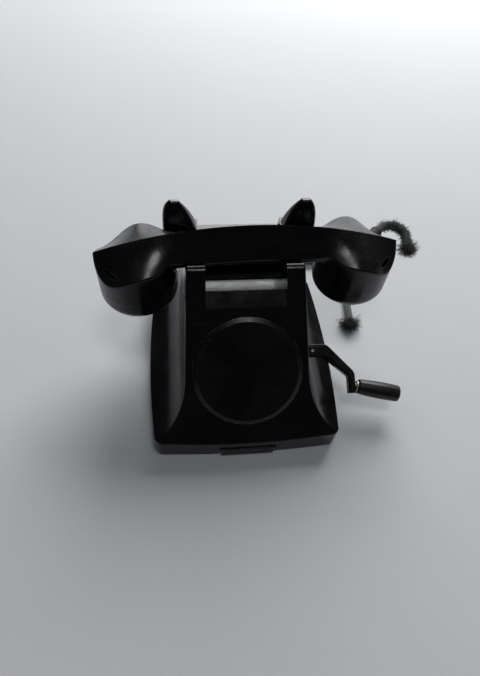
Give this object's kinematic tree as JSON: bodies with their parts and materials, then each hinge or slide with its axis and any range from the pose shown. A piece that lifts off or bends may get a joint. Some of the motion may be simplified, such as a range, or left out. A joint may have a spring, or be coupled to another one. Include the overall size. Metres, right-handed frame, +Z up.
{
  "type": "crank telephone",
  "caption": "Black moulded table telephone with a loose handset in its cradle, a blank dial plate, a hand crank at the side, an index tray and two cut cord stubs.",
  "frame": {"origin": "on the table, under the centre of the housing's base", "axes": "+X to the right of someone who faces the sloping front panel, +Y away from that person, +Z up"},
  "size_m": [0.2601, 0.2149, 0.1395],
  "materials": {
    "housing_resin": "moulded black resin, once glossy, now scuffed and dusty",
    "handset_resin": "polished black resin, worn dull along the back",
    "cap_resin": "polished black resin, fingermarked",
    "knob_resin": "black resin, rubbed by the hand",
    "plunger_resin": "dull black resin",
    "blank_enamel": "black enamel, dusty",
    "arm_enamel": "black enamel worn at its edges",
    "base_lacquer": "black lacquered sheet steel",
    "tray_lacquer": "black lacquered sheet steel",
    "magnet_lacquer": "dark red lacquer on magnet steel",
    "can_lacquer": "grey lacquered can",
    "foot_rubber": "black rubber",
    "gland_rubber": "black rubber",
    "screw_steel": "plain steel, dull",
    "spring_steel": "blued spring steel",
    "shaft_steel": "turned steel, oiled",
    "zinc_steel": "zinc-plated sheet steel, clouded",
    "core_iron": "soft iron, dark",
    "gong_nickel": "nickel-plated steel, dulled",
    "gear_brass": "cut brass",
    "pin_brass": "turned brass, tarnished",
    "spring_brass": "rolled spring brass",
    "winding": "enamelled copper wire under oiled cloth",
    "insulator": "brown paper laminate",
    "card": "blank card, yellowed",
    "capsule_aluminium": "pressed aluminium can",
    "handset_braid": "dark grey-green textile braid, cut and frayed",
    "base_braid": "grey textile braid, cut and frayed"
  },
  "bodies": {
    "base": {"base_cord": "base_braid", "base_cord_gland": "gland_rubber", "base_plate": "base_lacquer", "base_screws": "screw_steel", "capacitor": "can_lacquer", "clapper_pin": "shaft_steel", "contact_block": "insulator", "contact_springs": "spring_brass", "crank_bushing": "pin_brass", "dial_blank": "blank_enamel", "dial_clamp": "spring_steel", "dial_clamp_screw": "screw_steel", "gong_posts": "zinc_steel", "gong_screws": "screw_steel", "hook_bracket": "zinc_steel", "hook_bracket_screws": "screw_steel", "horseshoe_magnets": "magnet_lacquer", "housing": "housing_resin", "induction_coil": "winding", "left_gong": "gong_nickel", "lever_pin": "shaft_steel", "line_cord_grommet": "gland_rubber", "magneto_frame": "zinc_steel", "pole_shoes": "core_iron", "right_gong": "gong_nickel", "ringer_coils": "winding", "ringer_cores": "core_iron", "ringer_frame": "zinc_steel", "rubber_feet": "foot_rubber", "terminal_block": "insulator", "terminal_screws": "pin_brass", "tray_rails": "zinc_steel"},
    "handset": {"handset_body": "handset_resin", "ear_cap": "cap_resin", "mouthpiece_cap": "cap_resin", "receiver_capsule": "capsule_aluminium", "transmitter_capsule": "capsule_aluminium", "capsule_springs": "spring_brass", "handset_cord_sleeve": "gland_rubber", "handset_cord": "handset_braid"},
    "crank": {"crank_shaft": "shaft_steel", "crank_arm": "arm_enamel", "crank_rivet": "screw_steel", "crank_knob_pin": "pin_brass", "crank_knob_washer": "zinc_steel", "crank_gear": "gear_brass"},
    "crank_knob": {"crank_knob": "knob_resin"},
    "armature": {"armature_core": "core_iron", "armature_winding": "winding", "armature_shaft": "shaft_steel", "magneto_pinion": "shaft_steel"},
    "tray": {"index_tray": "tray_lacquer", "index_card": "card"},
    "plungers": {"hook_plungers": "plunger_resin"},
    "lever": {"hook_lever": "zinc_steel"},
    "clapper": {"clapper": "pin_brass"}
  },
  "joints": [
    {"name": "handset_lift", "type": "slide", "parent": "base", "child": "handset", "axis": [0, 0, 1], "range_m": [0, 0.1]},
    {"name": "hook_plunger_slide", "type": "slide", "parent": "base", "child": "plungers", "axis": [0, 0, 1], "range_m": [0, 0.005]},
    {"name": "hook_lever_swing", "type": "hinge", "parent": "base", "child": "lever", "pos_m": [0, 0.06, 0.084], "axis": [-1, 0, 0], "range_deg": [0, 10.9]},
    {"name": "crank_spin", "type": "hinge", "parent": "base", "child": "crank", "pos_m": [0, -0.015, 0.0425], "axis": [1, 0, 0], "continuous": true},
    {"name": "crank_knob_spin", "type": "hinge", "parent": "crank", "child": "crank_knob", "pos_m": [0.094, -0.04185, 0.027], "axis": [0.9744, -0.1948, -0.1125], "continuous": true},
    {"name": "armature_spin", "type": "hinge", "parent": "base", "child": "armature", "pos_m": [0, 0.012, 0.0425], "axis": [1, 0, 0], "continuous": true},
    {"name": "clapper_swing", "type": "hinge", "parent": "base", "child": "clapper", "pos_m": [0, 0.054, 0.0348], "axis": [0, 1, 0], "range_deg": [-5, 5]},
    {"name": "index_tray_slide", "type": "slide", "parent": "base", "child": "tray", "axis": [0, -1, 0], "range_m": [0, 0.055]}
  ],
  "couplings": [
    {"joint": "hook_plunger_slide", "follows": "handset_lift", "ratio": 0.05},
    {"joint": "hook_lever_swing", "follows": "handset_lift", "rad_per_m": 1.9},
    {"joint": "armature_spin", "follows": "crank_spin", "ratio": -5}
  ]
}
